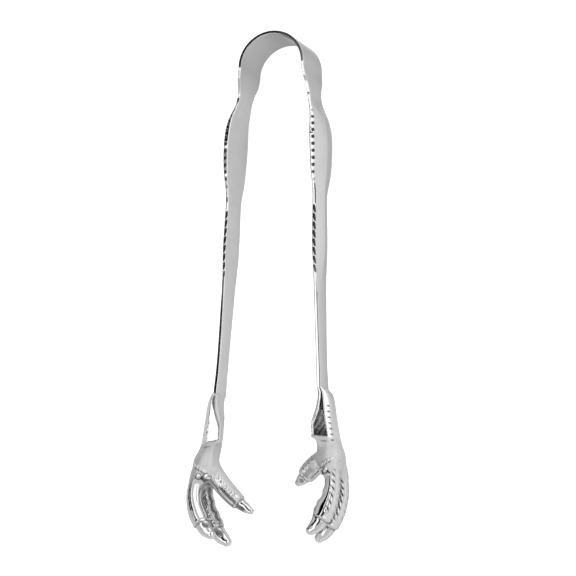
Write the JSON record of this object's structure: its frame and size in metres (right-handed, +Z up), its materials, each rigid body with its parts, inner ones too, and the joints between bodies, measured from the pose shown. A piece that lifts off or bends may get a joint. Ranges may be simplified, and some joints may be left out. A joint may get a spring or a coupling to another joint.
{
  "type": "ice tongs",
  "caption": "One-loop sprung ice tongs with swelling ornamented grips and cast bird's-claw feet that close on the ice.",
  "frame": {"origin": "middle of the strip's lower edge at the crown of the bow, on the table the tongs lie on", "axes": "+Y along the tongs from the claws to the bow, +X across the opening to the right arm, +Z up from the table along the width of the strip"},
  "size_m": [0.0566, 0.1786, 0.0167],
  "materials": {
    "bow_plate": "mirror polished",
    "arm_plate": "polished, with relief along the grips",
    "claw_plate": "polished cast surface"
  },
  "bodies": {
    "bow": {"spring_bow": "bow_plate"},
    "left_side": {"left_arm": "arm_plate", "left_claw": "claw_plate"},
    "right_side": {"right_arm": "arm_plate", "right_claw": "claw_plate"}
  },
  "joints": [
    {"name": "left_squeeze", "type": "hinge", "parent": "bow", "child": "left_side", "pos_m": [-0.00748, -0.00414, 0.00835], "axis": [0, 0, 1], "range_deg": [-1.5, 3.8], "stiffness_Nm_per_rad": 11},
    {"name": "right_squeeze", "type": "hinge", "parent": "bow", "child": "right_side", "pos_m": [0.00748, -0.00414, 0.00835], "axis": [0, 0, -1], "range_deg": [-1.5, 3.8], "stiffness_Nm_per_rad": 11}
  ],
  "couplings": [
    {"joint": "right_squeeze", "follows": "left_squeeze", "ratio": 1}
  ]
}
